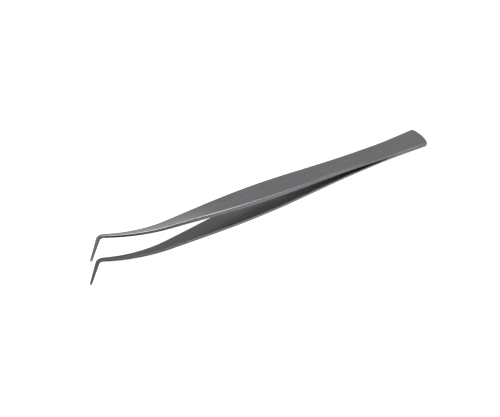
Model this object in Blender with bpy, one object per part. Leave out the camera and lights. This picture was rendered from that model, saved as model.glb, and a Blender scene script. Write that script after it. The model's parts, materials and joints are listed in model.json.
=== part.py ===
"""Bent-tip precision tweezers: two sprung steel arms, spot-welded together at the heel.

Units are metres. The heel end is at +X and the tips are at -X, and the tip legs turn towards -Y.
The arms open along Z, to either side of a middle plane. The assembly lies on a flat surface at
Z = 0, on the belly of its lower arm and the lower rim of its heel, so the middle plane is tilted.
"""

import math

import bmesh
import bpy
from mathutils import Matrix, Vector

MM = 0.001

# Route of an arm's centreline, from the heel end to the tip
STRAIGHT_LENGTH = 115.3 * MM
BOW_RADIUS = 55.3 * MM
BOW_TURN = math.radians(26.4)
BEND_RADIUS = 2.4 * MM
BEND_TURN = math.radians(74.0)
LEG_LENGTH = 12.4 * MM
ROUTE = (
    (STRAIGHT_LENGTH, 0.0),
    (BOW_RADIUS * BOW_TURN, BOW_TURN),
    (BEND_RADIUS * BEND_TURN, -BEND_TURN),
    (LEG_LENGTH, 0.0),
)
ARM_LENGTH = sum(length for length, turn in ROUTE)
BOW_END = ROUTE[0][0] + ROUTE[1][0]
BEND_END = BOW_END + ROUTE[2][0]

# Inner face of an arm: flat on the seam at the heel, then splayed, then closing in at the front and the leg
SEAM_GAP = 0.3 * MM
WELD_LENGTH = 14.5 * MM
SPLAY_EASE = 5.0 * MM
SPLAY_SLOPE = math.tan(math.radians(2.52))
BELLY_START = 92.0 * MM
BELLY_END = 104.0 * MM
TIP_CLOSING = 0.186
LEG_CLOSING = 1.2

# Thickness of an arm
HEEL_THICKNESS = 0.68 * MM
BELLY_THICKNESS = 1.60 * MM

# Rounded ends and edges
HEEL_ARC_RADIUS = 14.0 * MM
HEEL_ARC_FADE = 8.0 * MM
HEEL_CORNER_RADIUS = 1.1 * MM
HEEL_RIM_ROUNDING = 0.5 * MM
TIP_ROUNDING = 0.25 * MM
TIP_BLUNTNESS = 0.5
RIM_THICKNESS = 0.2 * MM
EDGE_LAND = 0.1 * MM
SIDE_LEAN = math.radians(14)
WIDEST_ROUNDING = 0.7
DEEPEST_ROUNDING = 0.7

# Where the arm flexes: the heel and the blade meet here, on the axis of the hinge
FLEX_POINT = 28.0 * MM
CLEARANCE = 0.3 * MM

# Spot welds between the heels
WELD_PLACES = (4.0 * MM, 8.2 * MM, 12.4 * MM)
WELD_RADIUS = 1.5 * MM
WELD_THICKNESS = 0.4 * MM
WELD_SIDES = 24

# Fineness of the surfaces
EDGE_STEPS = 4
HEEL_COLUMNS = 8
BLADE_COLUMNS = 2
SMOOTH_ANGLE = math.radians(35)

UPPER = 1
LOWER = -1


def inner_height(reach):
    """Height of an arm's inner face off the middle plane, at a reach from the heel end, up to the leg."""
    past_weld = max(0.0, reach - WELD_LENGTH)
    eased = min(past_weld, SPLAY_EASE)
    height = 0.5 * SEAM_GAP + SPLAY_SLOPE * (past_weld - eased + 0.5 * eased**2 / SPLAY_EASE)
    past_belly = max(0.0, reach - BELLY_END)
    return height - TIP_CLOSING * past_belly**2


# The lower arm rests on its belly and on the rim of its heel, so one slope joins the two
HEEL_FACE = 0.5 * SEAM_GAP + HEEL_THICKNESS
REST_RISE = inner_height(BELLY_START) + BELLY_THICKNESS - HEEL_FACE
REST_SLOPE = REST_RISE / (BELLY_START - HEEL_RIM_ROUNDING)
REST_TILT = math.atan(REST_SLOPE)
BELLY_SLOPE = REST_SLOPE - SPLAY_SLOPE
BELLY_END_THICKNESS = BELLY_THICKNESS + BELLY_SLOPE * (BELLY_END - BELLY_START)

# Stations along an arm: distance from the heel end, size there, and the slope of the size
HALF_WIDTH = (
    (0.0, 5.16 * MM, -0.038),
    (18.0 * MM, 4.50 * MM, -0.030),
    (38.0 * MM, 4.15 * MM, 0.0),
    (70.0 * MM, 4.82 * MM, 0.0),
    (100.0 * MM, 3.44 * MM, -0.094),
    (126.0 * MM, 1.44 * MM, -0.058),
    (BOW_END, 0.85 * MM, -0.024),
    (BEND_END, 0.79 * MM, -0.024),
    (ARM_LENGTH, 0.45 * MM, -0.026),
)
THICKNESS = (
    (0.0, HEEL_THICKNESS, 0.0),
    (WELD_LENGTH, HEEL_THICKNESS, 0.0),
    (38.0 * MM, 1.04 * MM, 0.020),
    (62.0 * MM, 1.40 * MM, 0.012),
    (BELLY_START, BELLY_THICKNESS, BELLY_SLOPE),
    (BELLY_END, BELLY_END_THICKNESS, BELLY_SLOPE),
    (122.0 * MM, 1.30 * MM, -0.024),
    (BOW_END, 0.92 * MM, -0.022),
    (BEND_END, 0.84 * MM, -0.022),
    (ARM_LENGTH, 0.54 * MM, -0.024),
)
EDGE_ROUNDING = (
    (0.0, 0.40 * MM, 0.0),
    (18.0 * MM, 0.42 * MM, 0.0),
    (60.0 * MM, 0.50 * MM, 0.0),
    (100.0 * MM, 0.65 * MM, -0.010),
    (BOW_END, 0.30 * MM, -0.005),
    (ARM_LENGTH, 0.12 * MM, 0.0),
)


def smooth_value(stations, distance):
    """Size at a distance, on the smooth curve through a row of stations."""
    for (start, low, rise), (end, high, fall) in zip(stations, stations[1:]):
        if distance <= end:
            break
    length = end - start
    t = min(1.0, (distance - start) / length)
    ends = low * (1 + 2 * t) * (1 - t) ** 2 + high * t**2 * (3 - 2 * t)
    slopes = rise * t * (1 - t) ** 2 - fall * t**2 * (1 - t)
    return ends + length * slopes


def centreline(distance):
    """Place and heading of the centreline, at a distance along it from the heel end."""
    x = y = heading = 0.0
    for length, turn in ROUTE:
        step = min(distance, length)
        if turn:
            radius = length / turn
            new_heading = heading + turn * step / length
            x -= radius * (math.sin(new_heading) - math.sin(heading))
            y += radius * (math.cos(heading) - math.cos(new_heading))
            heading = new_heading
        else:
            x -= step * math.cos(heading)
            y += step * math.sin(heading)
        distance -= step
    return x, y, heading


def round_off(distance, radius):
    """Share of the full size, from 0 at a rounded end to 1 a radius in from it."""
    return math.sqrt(1 - max(0.0, 1 - distance / radius) ** 2)


def arm_profile(half_width, thickness, rounding, columns):
    """Points across an arm's outer face, as sideways place and height off the inner face.

    Each side rises from a narrow upright land, leans inwards and rounds over onto the face.
    """
    land = min(EDGE_LAND, 0.25 * thickness)
    radius = min(rounding, DEEPEST_ROUNDING * thickness)
    side_height = thickness - radius * (1 - math.sin(SIDE_LEAN))
    reach = radius * math.cos(SIDE_LEAN) + (side_height - land) * math.tan(SIDE_LEAN)
    squeeze = min(1.0, WIDEST_ROUNDING * half_width / reach)
    flat = half_width - squeeze * reach
    edge = [(half_width, land)]
    for step in range(EDGE_STEPS):
        angle = SIDE_LEAN + (0.5 * math.pi - SIDE_LEAN) * step / EDGE_STEPS
        sideways = flat + squeeze * radius * math.cos(angle)
        edge.append((sideways, thickness - radius * (1 - math.sin(angle))))
    middle = [(flat * (1 - 2 * column / columns), thickness) for column in range(columns + 1)]
    return edge + middle + [(-sideways, height) for sideways, height in reversed(edge)]


def arm_section(distance, side, columns):
    """Inner and outer rows of points across an arm, at a distance along its centreline."""
    to_tip = ARM_LENGTH - distance
    tip_share = TIP_BLUNTNESS + (1 - TIP_BLUNTNESS) * round_off(to_tip, TIP_ROUNDING)
    corner_cut = HEEL_CORNER_RADIUS * (1 - round_off(distance, HEEL_CORNER_RADIUS))
    half_width = (smooth_value(HALF_WIDTH, distance) - corner_cut) * tip_share
    full_thickness = smooth_value(THICKNESS, distance) * tip_share
    rim_share = round_off(distance, HEEL_RIM_ROUNDING)
    thickness = RIM_THICKNESS + (full_thickness - RIM_THICKNESS) * rim_share
    rounding = smooth_value(EDGE_ROUNDING, distance)

    x, y, heading = centreline(distance)
    arc_share = max(0.0, 1 - distance / HEEL_ARC_FADE)
    past_bow = max(0.0, distance - BOW_END)
    inner, outer = [], []
    for sideways, height in arm_profile(half_width, thickness, rounding, columns):
        arc = HEEL_ARC_RADIUS - math.sqrt(HEEL_ARC_RADIUS**2 - sideways**2)
        place_x = x + sideways * math.sin(heading) - arc * arc_share
        place_y = y + sideways * math.cos(heading)
        base = inner_height(-place_x) - LEG_CLOSING * past_bow**2
        inner.append(Vector((place_x, place_y, side * base)))
        outer.append(Vector((place_x, place_y, side * (base + height))))
    return inner, outer


def spread(start, end, step):
    """Evenly spaced distances from start to end, about a step apart, without the end."""
    count = max(1, round((end - start) / step))
    return [start + (end - start) * i / count for i in range(count)]


def heel_distances():
    end = FLEX_POINT - 0.5 * CLEARANCE
    rim = [HEEL_RIM_ROUNDING * (1 - math.cos(math.radians(angle))) for angle in (0, 30, 60)]
    corner = spread(HEEL_RIM_ROUNDING, HEEL_CORNER_RADIUS, 0.3 * MM)
    arc = spread(HEEL_CORNER_RADIUS, HEEL_ARC_FADE, 2.0 * MM)
    weld = spread(HEEL_ARC_FADE, WELD_LENGTH, 3.0 * MM)
    splay = spread(WELD_LENGTH, WELD_LENGTH + SPLAY_EASE, 1.0 * MM)
    return rim + corner + arc + weld + splay + spread(WELD_LENGTH + SPLAY_EASE, end, 3.0 * MM) + [end]


def blade_distances():
    start = FLEX_POINT + 0.5 * CLEARANCE
    handle = spread(start, BELLY_START, 4.0 * MM)
    belly = spread(BELLY_START, BELLY_END, 4.0 * MM) + spread(BELLY_END, STRAIGHT_LENGTH, 3.0 * MM)
    bow = spread(STRAIGHT_LENGTH, BOW_END, 2.5 * MM)
    bend = spread(BOW_END, BEND_END, 0.3 * MM)
    leg = spread(BEND_END, ARM_LENGTH - TIP_ROUNDING, 2.2 * MM)
    tip = [ARM_LENGTH - TIP_ROUNDING * share for share in (1.0, 0.5, 0.15, 0.0)]
    return handle + belly + bow + bend + leg + tip


def skin(mesh, sections):
    """Close a row of sections into one solid: faces along the rows, side walls and two ends."""
    rows = [[[mesh.verts.new(point) for point in row] for row in pair] for pair in sections]
    for (inner, outer), (next_inner, next_outer) in zip(rows, rows[1:]):
        for row, following in ((inner, next_inner), (outer, next_outer)):
            for i in range(len(row) - 1):
                mesh.faces.new((row[i], row[i + 1], following[i + 1], following[i]))
        for i in (0, -1):
            mesh.faces.new((inner[i], outer[i], next_outer[i], next_inner[i]))
    for inner, outer in (rows[0], rows[-1]):
        for i in range(len(inner) - 1):
            mesh.faces.new((inner[i], inner[i + 1], outer[i + 1], outer[i]))
    bmesh.ops.recalc_face_normals(mesh, faces=mesh.faces)


def add_arm_piece(name, side, distances, columns, origin, material, collection):
    """One stretch of an arm as an object, with its mesh around the object's own origin."""
    mesh = bmesh.new()
    skin(mesh, [arm_section(distance, side, columns) for distance in distances])
    bmesh.ops.translate(mesh, verts=mesh.verts, vec=-origin)
    data = bpy.data.meshes.new(name)
    mesh.to_mesh(data)
    mesh.free()
    data.shade_smooth()
    data.set_sharp_from_angle(angle=SMOOTH_ANGLE)
    data.materials.append(material)
    piece = bpy.data.objects.new(name, data)
    piece.location = origin
    collection.objects.link(piece)
    return piece


def add_disc(name, reach, radius, thickness, collection):
    """A round disc on the middle plane, at a reach from the heel end."""
    mesh = bmesh.new()
    bmesh.ops.create_cone(
        mesh,
        cap_ends=True,
        segments=WELD_SIDES,
        radius1=radius,
        radius2=radius,
        depth=thickness,
    )
    data = bpy.data.meshes.new(name)
    mesh.to_mesh(data)
    mesh.free()
    disc = bpy.data.objects.new(name, data)
    disc.location = (-reach, 0.0, 0.0)
    collection.objects.link(disc)
    return disc


def add_weld(name, reach, material, collection):
    weld = add_disc(name, reach, WELD_RADIUS, WELD_THICKNESS, collection)
    weld.data.shade_smooth()
    weld.data.set_sharp_from_angle(angle=SMOOTH_ANGLE)
    weld.data.materials.append(material)
    return weld


def add_weld_pocket_cutter(name, reach, collection):
    """Cuts the room for a weld into both heels."""
    radius = WELD_RADIUS + CLEARANCE
    cutter = add_disc(name, reach, radius, WELD_THICKNESS + 2 * CLEARANCE, collection)
    cutter.hide_render = True
    cutter.display_type = "WIRE"
    return cutter


def cut(piece, cutters):
    for cutter in cutters:
        boolean = piece.modifiers.new(cutter.name, "BOOLEAN")
        boolean.operation = "DIFFERENCE"
        boolean.solver = "EXACT"
        boolean.object = cutter


def metal(name, colour, roughness):
    material = bpy.data.materials.new(name)
    material.use_nodes = True
    shader = material.node_tree.nodes["Principled BSDF"]
    shader.inputs["Base Color"].default_value = (*colour, 1.0)
    shader.inputs["Metallic"].default_value = 1.0
    shader.inputs["Roughness"].default_value = roughness
    return material


def flex_point(side):
    """Middle of the arm's thickness at the flex point, which is on the hinge's axis."""
    x, y, _ = centreline(FLEX_POINT)
    height = inner_height(FLEX_POINT) + 0.5 * smooth_value(THICKNESS, FLEX_POINT)
    return Vector((x, y, side * height))


def stand_on_surface(frame, pieces):
    """Tilt the assembly onto its resting points, with its box's bottom centre at the origin."""
    tilt = Matrix.Rotation(REST_TILT, 4, "Y")
    corners = [tilt @ (piece.location + vertex.co) for piece in pieces for vertex in piece.data.vertices]
    low = Vector([min(point[axis] for point in corners) for axis in range(3)])
    high = Vector([max(point[axis] for point in corners) for axis in range(3)])
    middle = (low + high) / 2
    frame.location = (-middle.x, -middle.y, -low.z)
    frame.rotation_euler = (0.0, REST_TILT, 0.0)


def main():
    for old in list(bpy.data.objects):
        bpy.data.objects.remove(old, do_unlink=True)
    parts = bpy.data.collections.new("precision_tweezers")
    cutters = bpy.data.collections.new("cutters")
    for collection in (parts, cutters):
        bpy.context.scene.collection.children.link(collection)
    steel = metal("satin_steel", (0.33, 0.33, 0.34), 0.36)
    weld_metal = metal("weld_metal", (0.29, 0.29, 0.30), 0.5)

    frame = bpy.data.objects.new("resting_frame", None)
    parts.objects.link(frame)
    pockets = [
        add_weld_pocket_cutter(f"weld_pocket_{number}", reach, cutters)
        for number, reach in enumerate(WELD_PLACES, start=1)
    ]
    pieces = [
        add_weld(f"spot_weld_{number}", reach, weld_metal, parts)
        for number, reach in enumerate(WELD_PLACES, start=1)
    ]
    for label, side in (("upper", UPPER), ("lower", LOWER)):
        heel = add_arm_piece(
            f"{label}_heel", side, heel_distances(), HEEL_COLUMNS, Vector(), steel, parts
        )
        cut(heel, pockets)
        blade = add_arm_piece(
            f"{label}_blade", side, blade_distances(), BLADE_COLUMNS, flex_point(side), steel, parts
        )
        pieces += [heel, blade]
    stand_on_surface(frame, pieces)
    for piece in pieces + pockets:
        piece.parent = frame


main()
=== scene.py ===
import json
import math

import bmesh
import bpy
from mathutils import Matrix, Vector


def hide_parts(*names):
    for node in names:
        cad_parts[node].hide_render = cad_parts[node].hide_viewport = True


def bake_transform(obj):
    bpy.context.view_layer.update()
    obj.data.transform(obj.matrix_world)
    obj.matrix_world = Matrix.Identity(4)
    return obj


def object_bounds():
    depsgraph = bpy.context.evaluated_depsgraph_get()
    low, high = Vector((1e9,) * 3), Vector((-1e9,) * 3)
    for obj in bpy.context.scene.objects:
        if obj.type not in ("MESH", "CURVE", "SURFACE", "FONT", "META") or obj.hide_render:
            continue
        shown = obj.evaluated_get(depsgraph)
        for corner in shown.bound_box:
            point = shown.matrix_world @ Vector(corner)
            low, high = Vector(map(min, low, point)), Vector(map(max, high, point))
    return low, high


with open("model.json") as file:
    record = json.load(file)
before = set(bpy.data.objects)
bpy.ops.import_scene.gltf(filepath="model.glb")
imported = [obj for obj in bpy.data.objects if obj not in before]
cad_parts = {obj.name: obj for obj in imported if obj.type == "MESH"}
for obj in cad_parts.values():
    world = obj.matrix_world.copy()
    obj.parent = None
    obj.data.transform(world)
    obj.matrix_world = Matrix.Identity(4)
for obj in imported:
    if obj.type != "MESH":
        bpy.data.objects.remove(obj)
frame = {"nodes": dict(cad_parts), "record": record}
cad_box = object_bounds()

MM = 0.001

# Camera: its direction and distance from the middle of the tweezers, and how far it is shifted off that
VIEW_AZIMUTH = math.radians(-33.2)
VIEW_ELEVATION = math.radians(41.0)
VIEW_DISTANCE = 1.056
VIEW_RIGHT = -2.71 * MM
VIEW_UP = -5.63 * MM
LENS_MM = 203.0
SENSOR_MM = 36.0
CLIP_START = 0.01
CLIP_END = 50.0

# Studio: softboxes given by name, direction, distance, width and radiant power, in a dim room
SOFTBOXES = (
    ("key_softbox", (0.06, -0.46, 0.90), 1.3, 1.05, 19.0),
    ("fill_softbox", (-0.80, -0.10, 0.60), 1.5, 1.5, 4.0),
)
WALL_COLOUR = (0.36, 0.36, 0.37)
CEILING_COLOUR = (0.50, 0.50, 0.51)
BACKDROP_COLOUR = (0.90, 0.90, 0.91)
FLOOR_GLOW = 0.70
FLOOR_COLOURS = (0.58, 0.58, 0.58), (0.60, 0.60, 0.60)
REFLECTED_FLOOR_COLOUR = (0.50, 0.50, 0.50)
FLOOR_ROUGHNESS = 0.9
FLOOR_SPECULAR = 0.1
FLOOR_HALF_SIZE = 4.0
FLOOR_GAP = 0.02 * MM

# Route of an arm's centreline, from the heel end to the tip
STRAIGHT_LENGTH = 115.3 * MM
BOW_RADIUS = 55.3 * MM
BOW_TURN = math.radians(26.4)
BEND_RADIUS = 2.4 * MM
BEND_TURN = math.radians(74.0)
LEG_LENGTH = 12.4 * MM
ROUTE = (
    (STRAIGHT_LENGTH, 0.0),
    (BOW_RADIUS * BOW_TURN, BOW_TURN),
    (BEND_RADIUS * BEND_TURN, -BEND_TURN),
    (LEG_LENGTH, 0.0),
)
ARM_LENGTH = sum(length for length, turn in ROUTE)
BOW_END = ROUTE[0][0] + ROUTE[1][0]
BEND_END = BOW_END + ROUTE[2][0]

# Inner face of an arm. The seam between the heels is narrower here than the frame's, and it widens to the
# frame's gap over a stretch past the welds. The closings are in 1/m, on the square of a distance.
CAD_SEAM_GAP = 0.3 * MM
SEAM_GAP = 0.03 * MM
SEAM_FADE = 6.0 * MM
WELD_LENGTH = 14.5 * MM
SPLAY_EASE = 5.0 * MM
SPLAY_SLOPE = math.tan(math.radians(2.52))
BELLY_START = 92.0 * MM
BELLY_END = 104.0 * MM
TIP_CLOSING = 0.186
LEG_CLOSING = 1.2

# Thickness of an arm
HEEL_THICKNESS = 0.68 * MM
BELLY_THICKNESS = 1.60 * MM

# Rounded ends and edges
HEEL_ARC_RADIUS = 14.0 * MM
HEEL_ARC_FADE = 8.0 * MM
HEEL_CORNER_RADIUS = 1.1 * MM
HEEL_RIM_ROUNDING = 0.5 * MM
TIP_ROUNDING = 0.25 * MM
TIP_BLUNTNESS = 0.5
RIM_THICKNESS = 0.2 * MM
SIDE_LEAN = math.radians(14)
WIDEST_ROUNDING = 0.7
DEEPEST_ROUNDING = 0.7
DEEPEST_CROWN = 0.4
DEBURR = 0.08 * MM
DEEPEST_DEBURR = 0.2
WIDEST_DEBURR = 0.3
POLISH_LOSS = 0.01 * MM

# Fineness of the surfaces
EDGE_STEPS = 9
SIDE_STEPS = 5
FLAT_COLUMNS = 14
RIM_ANGLES = range(0, 90, 9)
TIP_ANGLES = range(90, -1, -10)
CORNER_STEP = 0.1 * MM
HEEL_STEP = 0.5 * MM
HANDLE_STEP = 1.0 * MM
BOW_STEP = 0.7 * MM
BEND_STEP = 0.12 * MM
LEG_STEP = 0.5 * MM
SHARP_ANGLE = math.radians(50)

# The heel's two faces have their mounts in the frame this far from the heel end
HEEL_MOUNT_REACH = 9.0 * MM

# Side of the middle plane that an arm is on
UPPER = 1
LOWER = -1


def inner_height(reach):
    """The frame's height of an arm's inner face off the middle plane, at a reach from the heel end."""
    past_weld = max(0.0, reach - WELD_LENGTH)
    eased = min(past_weld, SPLAY_EASE)
    splayed = past_weld - eased + 0.5 * eased**2 / SPLAY_EASE
    height = 0.5 * CAD_SEAM_GAP + SPLAY_SLOPE * splayed
    past_belly = max(0.0, reach - BELLY_END)
    return height - TIP_CLOSING * past_belly**2


HEEL_FACE = 0.5 * CAD_SEAM_GAP + HEEL_THICKNESS
REST_RISE = inner_height(BELLY_START) + BELLY_THICKNESS - HEEL_FACE
REST_SLOPE = REST_RISE / (BELLY_START - HEEL_RIM_ROUNDING)
BELLY_SLOPE = REST_SLOPE - SPLAY_SLOPE
BELLY_END_THICKNESS = BELLY_THICKNESS + BELLY_SLOPE * (BELLY_END - BELLY_START)

# Stations along an arm: distance from the heel end, size there, and the slope of the size
HALF_WIDTH = (
    (0.0, 5.16 * MM, -0.038),
    (18.0 * MM, 4.50 * MM, -0.030),
    (38.0 * MM, 4.15 * MM, 0.0),
    (70.0 * MM, 4.82 * MM, 0.0),
    (100.0 * MM, 3.44 * MM, -0.094),
    (126.0 * MM, 1.44 * MM, -0.058),
    (BOW_END, 0.85 * MM, -0.024),
    (BEND_END, 0.79 * MM, -0.024),
    (ARM_LENGTH, 0.45 * MM, -0.026),
)
THICKNESS = (
    (0.0, HEEL_THICKNESS, 0.0),
    (WELD_LENGTH, HEEL_THICKNESS, 0.0),
    (38.0 * MM, 1.04 * MM, 0.020),
    (62.0 * MM, 1.40 * MM, 0.012),
    (BELLY_START, BELLY_THICKNESS, BELLY_SLOPE),
    (BELLY_END, BELLY_END_THICKNESS, BELLY_SLOPE),
    (122.0 * MM, 1.30 * MM, -0.024),
    (BOW_END, 0.92 * MM, -0.022),
    (BEND_END, 0.84 * MM, -0.022),
    (ARM_LENGTH, 0.54 * MM, -0.024),
)
EDGE_ROUNDING = (
    (0.0, 0.40 * MM, 0.0),
    (18.0 * MM, 0.42 * MM, 0.0),
    (60.0 * MM, 0.50 * MM, 0.0),
    (100.0 * MM, 0.65 * MM, -0.010),
    (BOW_END, 0.30 * MM, -0.005),
    (ARM_LENGTH, 0.12 * MM, 0.0),
)
CROWN = (
    (0.0, 0.01 * MM, 0.0),
    (70.0 * MM, 0.02 * MM, 0.0),
    (104.0 * MM, 0.16 * MM, 0.0),
    (BOW_END, 0.04 * MM, 0.0),
    (ARM_LENGTH, 0.02 * MM, 0.0),
)

# Painted light along an arm: how much painted shade darkens the sides, the outer face's rounded edges and the
# inner face, and how much a painted sheen brightens the front of the outer face
SIDE_SHADE = (
    (0.0, 0.10, 0.0),
    (60.0 * MM, 0.05, 0.0),
    (90.0 * MM, 0.15, 0.0),
    (122.0 * MM, 0.72, 0.0),
    (136.0 * MM, 1.0, 0.0),
    (ARM_LENGTH, 1.0, 0.0),
)
# Painted shade on the outer face's rounded edges, at the heel and toward the tips
EDGE_SHADE = (
    (0.0, 0.28, 0.0),
    (20.0 * MM, 0.28, 0.0),
    (45.0 * MM, 0.0, 0.0),
    (104.0 * MM, 0.0, 0.0),
    (120.0 * MM, 0.16, 0.0),
    (131.0 * MM, 0.40, 0.0),
    (BOW_END, 0.46, 0.0),
    (ARM_LENGTH, 0.30, 0.0),
)
# Painted shade on the inner face, where the arms shade each other
INNER_SHADE = (
    (0.0, 0.0, 0.0),
    (57.0 * MM, 0.0, 0.0),
    (105.0 * MM, 0.38, 0.0),
    (ARM_LENGTH, 0.38, 0.0),
)
# Painted sheen on the front of the outer face, before the bend
FRONT_SHEEN = (
    (0.0, 0.0, 0.0),
    (90.0 * MM, 0.0, 0.0),
    (126.0 * MM, 1.0, 0.0),
    (BOW_END, 0.6, -50.0),
    (BEND_END, 0.0, 0.0),
    (ARM_LENGTH, 0.0, 0.0),
)
# Less painted shade at a side's foot, less painted sheen on worn edges, and painted shade on the heel's end
# rim
SIDE_FOOT_BRIGHTNESS = 0.6
EDGE_SHEEN_LOSS = 0.5
RIM_SHADE = 0.5
INNER_WEAR = 0.5

# Colours of an arm's steel, from the darkest, which is painted shade, to the brightest, which is a painted
# sheen, and of a weld's
PAINTED_SHADE_STEEL = (0.04, 0.04, 0.041)
SATIN_STEEL = (0.270, 0.270, 0.278), (0.360, 0.360, 0.370)
RUBBED_STEEL = (0.40, 0.40, 0.405)
PAINTED_SHEEN_STEEL = (0.60, 0.60, 0.606)
WELD_STEEL = (0.27, 0.27, 0.28), (0.37, 0.36, 0.35)

# Patterns in an arm's steel, as a scale per metre along the arm, across it and through it. The grain is a mix
# of a fine and a coarse one, and it differs between the faces, which lie a layer apart in it.
FINE_GRAIN = (90.0, 5200.0, 5200.0)
COARSE_GRAIN = (28.0, 900.0, 900.0)
HANDLING_MARKS = (60.0, 140.0, 140.0)
FINE_SHARE = 0.6
GRAIN_LAYER = 10.0 * MM

# Patterns that are the same in every direction, as a scale per metre
WELD_CRYSTALS = 2500.0
PAPER_FIBRES = 40.0

# Ranges of the noises that are put to use, and what they set
NOISE_RANGE = (0.3, 0.7)
MARKS_RANGE = (0.35, 0.7)
# Range of the grain over which the painted sheen is laid on
SHEEN_CONTRAST = (0.7, 1.0)
GRAIN_ROUGHNESS = (0.30, 0.40)
MARKS_ROUGHNESS = (-0.03, 0.04)
WELD_ROUGHNESS = (0.42, 0.6)
BUMP_HEIGHT = 0.02 * MM
SATIN_BUMP = 0.25
WELD_BUMP = 0.3

# Worn edges are rubbed bright and smooth, each over a range of the wear and up to a share or a roughness less
RUBBED_WEAR = (0.3, 1.0)
RUBBED_SHARE = 0.3
SMOOTHED_WEAR = (0.2, 0.9)
SMOOTHED_ROUGHNESS = 0.06


# ---------------------------------------------------------------- shape of an arm


def smooth_value(stations, distance):
    """Size at a distance, on the smooth curve through a row of stations."""
    for (start, low, rise), (end, high, fall) in zip(stations, stations[1:]):
        if distance <= end:
            break
    length = end - start
    t = min(1.0, (distance - start) / length)
    ends = low * (1 + 2 * t) * (1 - t) ** 2 + high * t**2 * (3 - 2 * t)
    slopes = rise * t * (1 - t) ** 2 - fall * t**2 * (1 - t)
    return ends + length * slopes


def centreline(distance):
    """Place and heading of the centreline, at a distance along it from the heel end."""
    x = y = heading = 0.0
    for length, turn in ROUTE:
        step = min(distance, length)
        if turn:
            radius = length / turn
            new_heading = heading + turn * step / length
            x -= radius * (math.sin(new_heading) - math.sin(heading))
            y += radius * (math.cos(heading) - math.cos(new_heading))
            heading = new_heading
        else:
            x -= step * math.cos(heading)
            y += step * math.sin(heading)
        distance -= step
    return x, y, heading


def round_off(distance, radius):
    """Share of the full size, from 0 at a rounded end to 1 a radius in from it."""
    return math.sqrt(1 - max(0.0, 1 - distance / radius) ** 2)


def smooth_step(t):
    """Share that goes smoothly from 0 to 1 as t does."""
    t = min(1.0, max(0.0, t))
    return t * t * (3 - 2 * t)


def mirrored_row(edge, middle):
    """A whole row of points, from one edge and the middle."""
    return edge + middle + [(-sideways, *rest) for sideways, *rest in reversed(edge)]


def outer_row(half_width, thickness, rounding, crown, foot):
    """Points across the two leaning sides and the outer face between them.

    Each point has its sideways place, its height off the inner face, its wear and its share of the sides'
    painted shade, and that share is less by the foot at the side's lower edge.
    """
    foot_place, foot_height = side_foot(half_width, thickness)
    radius = min(rounding, DEEPEST_ROUNDING * thickness)
    side_rise = thickness - radius * (1 - math.sin(SIDE_LEAN)) - foot_height
    reach = radius * math.cos(SIDE_LEAN) + side_rise * math.tan(SIDE_LEAN)
    squeeze = min(1.0, WIDEST_ROUNDING * foot_place / reach)
    flat = foot_place - squeeze * reach
    crown = min(crown, DEEPEST_CROWN * radius)
    edge = []
    for step in range(1, SIDE_STEPS):
        rise = side_rise * step / SIDE_STEPS
        place = foot_place - squeeze * rise * math.tan(SIDE_LEAN)
        # The side's points take the sides' painted shade, less towards its foot
        side_shade_share = 1 - foot * (1 - step / SIDE_STEPS)
        edge.append((place, foot_height + rise, 0.0, side_shade_share))
    for step in range(EDGE_STEPS):
        share = step / EDGE_STEPS
        angle = SIDE_LEAN + (0.5 * math.pi - SIDE_LEAN) * share
        place = flat + squeeze * radius * math.cos(angle)
        height = thickness - radius * (1 - math.sin(angle)) - crown * smooth_step(share)
        wear = math.sin(math.pi * share)
        # The rounded edge takes the sides' painted shade over its lower half
        edge.append((place, height, wear, 1 - smooth_step(2 * share)))
    middle = []
    for column in range(FLAT_COLUMNS + 1):
        share = 1 - 2 * column / FLAT_COLUMNS
        middle.append((flat * share, thickness - crown * share**2, 0.0, 0.0))
    return mirrored_row(edge, middle)


def edge_deburr(half_width, thickness):
    """Radius of the deburred inner edges."""
    return min(DEBURR, DEEPEST_DEBURR * thickness, WIDEST_DEBURR * half_width)


def side_foot(half_width, thickness):
    """Where a leaning side leaves the deburred inner edge."""
    deburr = edge_deburr(half_width, thickness)
    return half_width - deburr * (1 - math.cos(SIDE_LEAN)), deburr * (1 + math.sin(SIDE_LEAN))


def inner_row(half_width, thickness, foot):
    """Points across the inner face, which is flat but for its two deburred edges."""
    deburr = edge_deburr(half_width, thickness)
    flat = half_width - deburr
    edge = []
    for step in range(EDGE_STEPS):
        share = step / EDGE_STEPS
        angle = SIDE_LEAN - (SIDE_LEAN + 0.5 * math.pi) * share
        wear = INNER_WEAR * math.sin(math.pi * share)
        place = flat + deburr * math.cos(angle)
        # The deburred inner edge takes the sides' painted shade, less by the foot
        side_shade_share = (1 - foot) * (1 - share)
        edge.append((place, deburr * (1 + math.sin(angle)), wear, side_shade_share))
    middle = []
    for column in range(FLAT_COLUMNS + 1):
        share = 1 - 2 * column / FLAT_COLUMNS
        middle.append((flat * share, 0.0, 0.0, 0.0))
    return mirrored_row(edge, middle)


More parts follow.
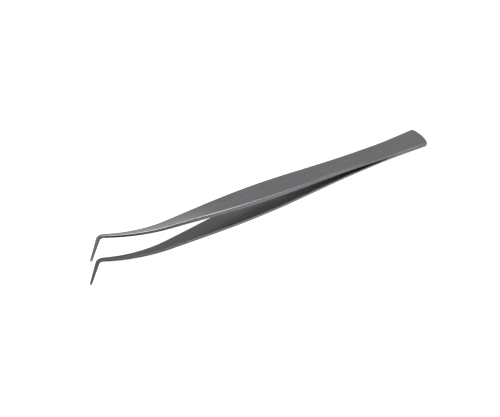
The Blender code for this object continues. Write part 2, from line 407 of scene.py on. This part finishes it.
def arm_section(distance, side):
    """The inner and the outer row across an arm.

    Each point has its place, sideways place, wear, painted shade and painted sheen.
    """
    to_tip = ARM_LENGTH - distance
    tip_share = TIP_BLUNTNESS + (1 - TIP_BLUNTNESS) * round_off(to_tip, TIP_ROUNDING)
    corner_cut = HEEL_CORNER_RADIUS * (1 - round_off(distance, HEEL_CORNER_RADIUS))
    half_width = (smooth_value(HALF_WIDTH, distance) - corner_cut) * tip_share - POLISH_LOSS
    full_thickness = smooth_value(THICKNESS, distance) * tip_share
    rim_share = round_off(distance, HEEL_RIM_ROUNDING)
    thickness = RIM_THICKNESS + (full_thickness - RIM_THICKNESS) * rim_share
    rounding = smooth_value(EDGE_ROUNDING, distance)
    crown = smooth_value(CROWN, distance)
    rim = 1 - rim_share
    # Painted shade on the sides, with a foot on each side that takes less of it
    side_shade = smooth_value(SIDE_SHADE, distance)
    foot = SIDE_FOOT_BRIGHTNESS * (1 - side_shade)

    x, y, heading = centreline(distance)
    arc_share = max(0.0, 1 - distance / HEEL_ARC_FADE)
    past_bow = max(0.0, distance - BOW_END)
    fill_share = 1 - smooth_step((distance - WELD_LENGTH) / SEAM_FADE)
    seam_fill = 0.5 * (CAD_SEAM_GAP - SEAM_GAP) * fill_share
    leg_drop = LEG_CLOSING * past_bow**2
    # Painted shade on the inner face and the edges, and a painted sheen on the outer face's front
    inner_shade = smooth_value(INNER_SHADE, distance)
    front_sheen = smooth_value(FRONT_SHEEN, distance)
    edge_shade = smooth_value(EDGE_SHADE, distance)
    rows = []
    for profile, sink, face_shade, painted_sheen in (
        (inner_row(half_width, thickness, foot), seam_fill, inner_shade, 0.0),
        (outer_row(half_width, thickness, rounding, crown, foot), 0.0, 0.0, front_sheen),
    ):
        row = []
        for sideways, height, wear, side_shade_share in profile:
            arc = HEEL_ARC_RADIUS - math.sqrt(HEEL_ARC_RADIUS**2 - sideways**2)
            place_x = x + sideways * math.sin(heading) - (arc + POLISH_LOSS) * arc_share
            place_y = y + sideways * math.cos(heading)
            place_z = inner_height(-place_x) - leg_drop - sink + height
            # Painted shade: the inner face's shade or the rounded edges' shade along the edge profile, mixed
            # with the sides' shade, and at least the heel rim's shade
            face_and_edge_shade = max(face_shade, edge_shade * wear)
            painted_shade = max(face_and_edge_shade * (1 - side_shade_share) + side_shade * side_shade_share, rim * RIM_SHADE)
            point = Vector((place_x, place_y, side * place_z))
            # Painted sheen, left off the sides and less on worn edges
            point_sheen = painted_sheen * (1 - side_shade_share) * (1 - EDGE_SHEEN_LOSS * wear)
            row.append((point, sideways, wear, painted_shade, point_sheen))
        rows.append(row)
    return rows


def spread(start, end, step):
    """Evenly spaced distances from start to end, about a step apart, without the end."""
    count = max(1, round((end - start) / step))
    return [start + (end - start) * i / count for i in range(count)]


def arm_distances():
    """Distances of an arm's sections from the heel end, closest where the surface turns most."""
    rim = [HEEL_RIM_ROUNDING * (1 - math.cos(math.radians(angle))) for angle in RIM_ANGLES]
    corner = spread(HEEL_RIM_ROUNDING, HEEL_CORNER_RADIUS, CORNER_STEP)
    heel = spread(HEEL_CORNER_RADIUS, HEEL_ARC_FADE, HEEL_STEP)
    handle = spread(HEEL_ARC_FADE, STRAIGHT_LENGTH, HANDLE_STEP)
    bow = spread(STRAIGHT_LENGTH, BOW_END, BOW_STEP)
    bend = spread(BOW_END, BEND_END, BEND_STEP)
    leg = spread(BEND_END, ARM_LENGTH - TIP_ROUNDING, LEG_STEP)
    tip = [ARM_LENGTH - TIP_ROUNDING * (1 - math.cos(math.radians(angle))) for angle in TIP_ANGLES]
    return rim + corner + heel + handle + bow + bend + leg + tip


def frame_matrix():
    """The middle plane's place in the frame, from the two flat faces of the heel."""
    mounts = {mount["name"]: mount for mount in frame["record"]["mounts"]}
    upper = mounts["heel_upper_face"]
    lower = mounts["heel_lower_face"]
    axis = Vector(upper["axis"])
    turn = Matrix.Rotation(math.atan2(axis.x, axis.z), 4, "Y")
    middle = (Vector(upper["pos_m"]) + Vector(lower["pos_m"])) / 2
    heel_end = middle + turn @ Vector((HEEL_MOUNT_REACH, 0.0, 0.0))
    return Matrix.Translation(heel_end) @ turn


def add_rows(mesh, side, place):
    """The vertices of an arm, as a pair of rows at each of its distances, with what its steel needs."""
    grain = mesh.verts.layers.float_vector.new("grain_place")
    wear_layer = mesh.verts.layers.float.new("wear")
    # Painted shade and painted sheen, which the steel reads
    painted_shade_layer = mesh.verts.layers.float.new("painted_shade")
    sheen_layer = mesh.verts.layers.float.new("painted_sheen")
    pairs = []
    for distance in arm_distances():
        pair = []
        for index, row in enumerate(arm_section(distance, side)):
            made = []
            for point, sideways, wear, painted_shade, painted_sheen in row:
                vertex = mesh.verts.new(place @ point)
                vertex[grain] = Vector((distance, sideways, (index + side) * GRAIN_LAYER))
                vertex[wear_layer] = wear
                vertex[painted_shade_layer] = painted_shade
                vertex[sheen_layer] = painted_sheen
                made.append(vertex)
            pair.append(made)
        pairs.append(pair)
    return pairs


def add_faces(mesh, pairs):
    """The skin over the pairs of rows, with a cap on each end.

    The outer row has more points than the inner one, so a cap leaves a sliver open beside its last side.
    """
    for (inner, outer), (next_inner, next_outer) in zip(pairs, pairs[1:]):
        for row, following in ((inner, next_inner), (outer, next_outer)):
            for i in range(len(row) - 1):
                mesh.faces.new((row[i], row[i + 1], following[i + 1], following[i]))
        for i in (0, -1):
            mesh.faces.new((inner[i], outer[i], next_outer[i], next_inner[i]))
    for inner, outer in (pairs[0], pairs[-1]):
        for i in range(len(inner) - 1):
            mesh.faces.new((inner[i], inner[i + 1], outer[i + 1], outer[i]))
    bmesh.ops.recalc_face_normals(mesh, faces=mesh.faces)


def make_arm(name, side, nodes, material):
    """One arm as a single smooth skin from heel to tip, splayed past the welds; it hides the frame's pieces
    it stands for.
    """
    place = frame_matrix()
    mesh = bmesh.new()
    add_faces(mesh, add_rows(mesh, side, place))
    data = bpy.data.meshes.new(name)
    mesh.to_mesh(data)
    mesh.free()
    data.shade_smooth()
    data.set_sharp_from_angle(angle=SHARP_ANGLE)
    data.materials.append(material)
    arm = bpy.data.objects.new(name, data)
    bpy.context.scene.collection.objects.link(arm)

    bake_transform(arm)
    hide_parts(*nodes)


# ---------------------------------------------------------------- materials


class Nodes:
    """Short calls for laying out a material's nodes."""

    def __init__(self, tree):
        self.tree = tree

    def add(self, kind, **settings):
        node = self.tree.nodes.new(kind)
        for name, value in settings.items():
            setattr(node, name, value)
        return node

    def link(self, source, target):
        self.tree.links.new(source, target)

    def attribute(self, name, output="Fac"):
        return self.add("ShaderNodeAttribute", attribute_name=name).outputs[output]

    def noise(self, vector, scale, detail=3.0, roughness=0.5):
        node = self.add("ShaderNodeTexNoise")
        self.link(vector, node.inputs["Vector"])
        node.inputs["Scale"].default_value = scale
        node.inputs["Detail"].default_value = detail
        node.inputs["Roughness"].default_value = roughness
        return node.outputs["Fac"]

    def stretched(self, vector, scale):
        node = self.add("ShaderNodeMapping")
        self.link(vector, node.inputs["Vector"])
        node.inputs["Scale"].default_value = scale
        return node.outputs["Vector"]

    def ramp(self, value, low, high, to_low, to_high):
        node = self.add("ShaderNodeMapRange")
        self.link(value, node.inputs["Value"])
        node.inputs["From Min"].default_value = low
        node.inputs["From Max"].default_value = high
        node.inputs["To Min"].default_value = to_low
        node.inputs["To Max"].default_value = to_high
        return node.outputs["Result"]

    def noise_ramp(self, noise, to_low, to_high):
        return self.ramp(noise, *NOISE_RANGE, to_low, to_high)

    def bump(self, height, strength, shader):
        node = self.add("ShaderNodeBump")
        node.inputs["Strength"].default_value = strength
        node.inputs["Distance"].default_value = BUMP_HEIGHT
        self.link(height, node.inputs["Height"])
        self.link(node.outputs["Normal"], shader.inputs["Normal"])

    def math(self, operation, first, second):
        node = self.add("ShaderNodeMath", operation=operation)
        for socket, value in zip(node.inputs, (first, second)):
            if isinstance(value, (int, float)):
                socket.default_value = value
            else:
                self.link(value, socket)
        return node.outputs["Value"]

    def mix(self, factor, first, second):
        """A colour mix. The sockets are numbered, since the node has the same names for every type."""
        node = self.add("ShaderNodeMix", data_type="RGBA")
        self.link(factor, node.inputs["Factor"])
        for socket, value in ((node.inputs[6], first), (node.inputs[7], second)):
            if isinstance(value, tuple):
                socket.default_value = (*value, 1.0)
            else:
                self.link(value, socket)
        return node.outputs[2]


def new_material(name):
    """A new material, with its nodes and its shader."""
    material = bpy.data.materials.new(name)
    material.use_nodes = True
    return material, Nodes(material.node_tree), material.node_tree.nodes["Principled BSDF"]


def satin_steel():
    """Stainless steel with a satin grain along the arm, handling marks, rubbed edges, painted shade and
    sheen.
    """
    material, nodes, shader = new_material("satin_steel_brushed")
    place = nodes.attribute("grain_place", "Vector")
    wear = nodes.attribute("wear")
    painted_shade = nodes.attribute("painted_shade")
    painted_sheen = nodes.attribute("painted_sheen")
    fine = nodes.noise(nodes.stretched(place, FINE_GRAIN), 1.0, detail=4.0, roughness=0.6)
    coarse = nodes.noise(nodes.stretched(place, COARSE_GRAIN), 1.0)
    marks = nodes.noise(nodes.stretched(place, HANDLING_MARKS), 1.0, detail=2.0)
    fine_part = nodes.math("MULTIPLY", fine, FINE_SHARE)
    coarse_part = nodes.math("MULTIPLY", coarse, 1 - FINE_SHARE)
    grain = nodes.math("ADD", fine_part, coarse_part)

    satin = nodes.mix(nodes.noise_ramp(grain, 0.0, 1.0), *SATIN_STEEL)
    # Painted sheen on the front of the outer face
    sheen_share = nodes.math("MULTIPLY", painted_sheen, nodes.noise_ramp(grain, *SHEEN_CONTRAST))
    front = nodes.mix(sheen_share, satin, PAINTED_SHEEN_STEEL)
    rubbed = nodes.mix(nodes.ramp(wear, *RUBBED_WEAR, 0.0, RUBBED_SHARE), front, RUBBED_STEEL)
    # Painted shade, darkening towards near-black steel
    shade_painted = nodes.mix(painted_shade, rubbed, PAINTED_SHADE_STEEL)
    nodes.link(shade_painted, shader.inputs["Base Color"])

    grain_roughness = nodes.noise_ramp(grain, *GRAIN_ROUGHNESS)
    mark_roughness = nodes.ramp(marks, *MARKS_RANGE, *MARKS_ROUGHNESS)
    roughness = nodes.math("ADD", grain_roughness, mark_roughness)
    smoothed = nodes.ramp(wear, *SMOOTHED_WEAR, 0.0, SMOOTHED_ROUGHNESS)
    nodes.link(nodes.math("SUBTRACT", roughness, smoothed), shader.inputs["Roughness"])
    shader.inputs["Metallic"].default_value = 1.0
    nodes.bump(grain, SATIN_BUMP, shader)
    return material


def weld_metal():
    """Fused steel of a spot weld, with a faint cast grain."""
    material, nodes, shader = new_material("fused_weld_metal")
    place = nodes.add("ShaderNodeTexCoord").outputs["Object"]
    crystals = nodes.noise(place, WELD_CRYSTALS, detail=5.0, roughness=0.65)
    tint = nodes.mix(nodes.noise_ramp(crystals, 0.0, 1.0), *WELD_STEEL)
    nodes.link(tint, shader.inputs["Base Color"])
    nodes.link(nodes.noise_ramp(crystals, *WELD_ROUGHNESS), shader.inputs["Roughness"])
    shader.inputs["Metallic"].default_value = 1.0
    nodes.bump(crystals, WELD_BUMP, shader)
    return material


def pale_floor():
    """White paper that glows for the camera, and shows darker in the steel."""
    material, nodes, shader = new_material("pale_paper")
    place = nodes.add("ShaderNodeTexCoord").outputs["Object"]
    fibres = nodes.noise_ramp(nodes.noise(place, PAPER_FIBRES, detail=4.0), 0.0, 1.0)
    seen = nodes.add("ShaderNodeLightPath").outputs["Is Camera Ray"]
    pale = nodes.mix(fibres, *FLOOR_COLOURS)
    nodes.link(nodes.mix(seen, REFLECTED_FLOOR_COLOUR, pale), shader.inputs["Base Color"])
    nodes.link(nodes.math("MULTIPLY", seen, FLOOR_GLOW), shader.inputs["Emission Strength"])
    shader.inputs["Emission Color"].default_value = (1.0, 1.0, 1.0, 1.0)
    shader.inputs["Roughness"].default_value = FLOOR_ROUGHNESS
    shader.inputs["Specular IOR Level"].default_value = FLOOR_SPECULAR
    return material


# ---------------------------------------------------------------- studio


def make_camera():
    """The camera, at the photo's viewing angle."""
    low, high = cad_box
    centre = (low + high) / 2
    back = Vector(
        (
            math.sin(VIEW_AZIMUTH) * math.cos(VIEW_ELEVATION),
            -math.cos(VIEW_AZIMUTH) * math.cos(VIEW_ELEVATION),
            math.sin(VIEW_ELEVATION),
        )
    )
    right = Vector((math.cos(VIEW_AZIMUTH), math.sin(VIEW_AZIMUTH), 0.0))
    up = back.cross(right)
    data = bpy.data.cameras.new("camera")
    data.lens = LENS_MM
    data.sensor_width = SENSOR_MM
    data.clip_start = CLIP_START
    data.clip_end = CLIP_END
    camera = bpy.data.objects.new("camera", data)
    camera.location = centre + right * VIEW_RIGHT + up * VIEW_UP + back * VIEW_DISTANCE
    camera.rotation_mode = "QUATERNION"
    camera.rotation_quaternion = (-back).to_track_quat("-Z", "Y")
    bpy.context.scene.collection.objects.link(camera)
    bpy.context.scene.camera = camera


def make_floor():
    """A wide sheet of paper, just under the tweezers."""
    low = cad_box[0]
    mesh = bmesh.new()
    bmesh.ops.create_grid(mesh, x_segments=8, y_segments=8, size=FLOOR_HALF_SIZE)
    data = bpy.data.meshes.new("floor")
    mesh.to_mesh(data)
    mesh.free()
    data.materials.append(pale_floor())
    floor = bpy.data.objects.new("floor", data)
    floor.location = (0.0, 0.0, low.z - FLOOR_GAP)
    bpy.context.scene.collection.objects.link(floor)


def add_softbox(name, direction, distance, width, power):
    """A square light, aimed at the frame's origin from a direction."""
    toward = Vector(direction).normalized()
    data = bpy.data.lights.new(name, "AREA")
    data.size = width
    data.energy = power
    lamp = bpy.data.objects.new(name, data)
    lamp.location = toward * distance
    lamp.rotation_mode = "QUATERNION"
    lamp.rotation_quaternion = (-toward).to_track_quat("-Z", "Y")
    bpy.context.scene.collection.objects.link(lamp)


def make_room():
    """A dim room round the tweezers, brighter overhead, which the camera sees as a white backdrop."""
    world = bpy.data.worlds.new("studio")
    bpy.context.scene.world = world
    world.use_nodes = True
    nodes = Nodes(world.node_tree)
    background = world.node_tree.nodes["Background"]
    direction = nodes.add("ShaderNodeTexCoord").outputs["Generated"]
    split = nodes.add("ShaderNodeSeparateXYZ")
    nodes.link(direction, split.inputs["Vector"])
    ramp = nodes.add("ShaderNodeValToRGB")
    ramp.color_ramp.interpolation = "EASE"
    ramp.color_ramp.elements[0].position = 0.0
    ramp.color_ramp.elements[0].color = (*WALL_COLOUR, 1.0)
    ramp.color_ramp.elements[1].position = 1.0
    ramp.color_ramp.elements[1].color = (*CEILING_COLOUR, 1.0)
    nodes.link(split.outputs["Z"], ramp.inputs["Fac"])
    seen = nodes.add("ShaderNodeLightPath").outputs["Is Camera Ray"]
    nodes.link(nodes.mix(seen, ramp.outputs["Color"], BACKDROP_COLOUR), background.inputs["Color"])
    background.inputs["Strength"].default_value = 1.0


# ---------------------------------------------------------------- the scene

bpy.context.scene.view_settings.view_transform = "Standard"
make_camera()
make_floor()
make_room()
for softbox in SOFTBOXES:
    add_softbox(*softbox)

steel = satin_steel()
make_arm("upper_arm_skin", UPPER, ("upper_heel", "upper_blade"), steel)
make_arm("lower_arm_skin", LOWER, ("lower_heel", "lower_blade"), steel)

weld = weld_metal()
for name, node in frame["nodes"].items():
    if name.startswith("spot_weld"):
        for material_slot in node.material_slots:
            material_slot.material = weld
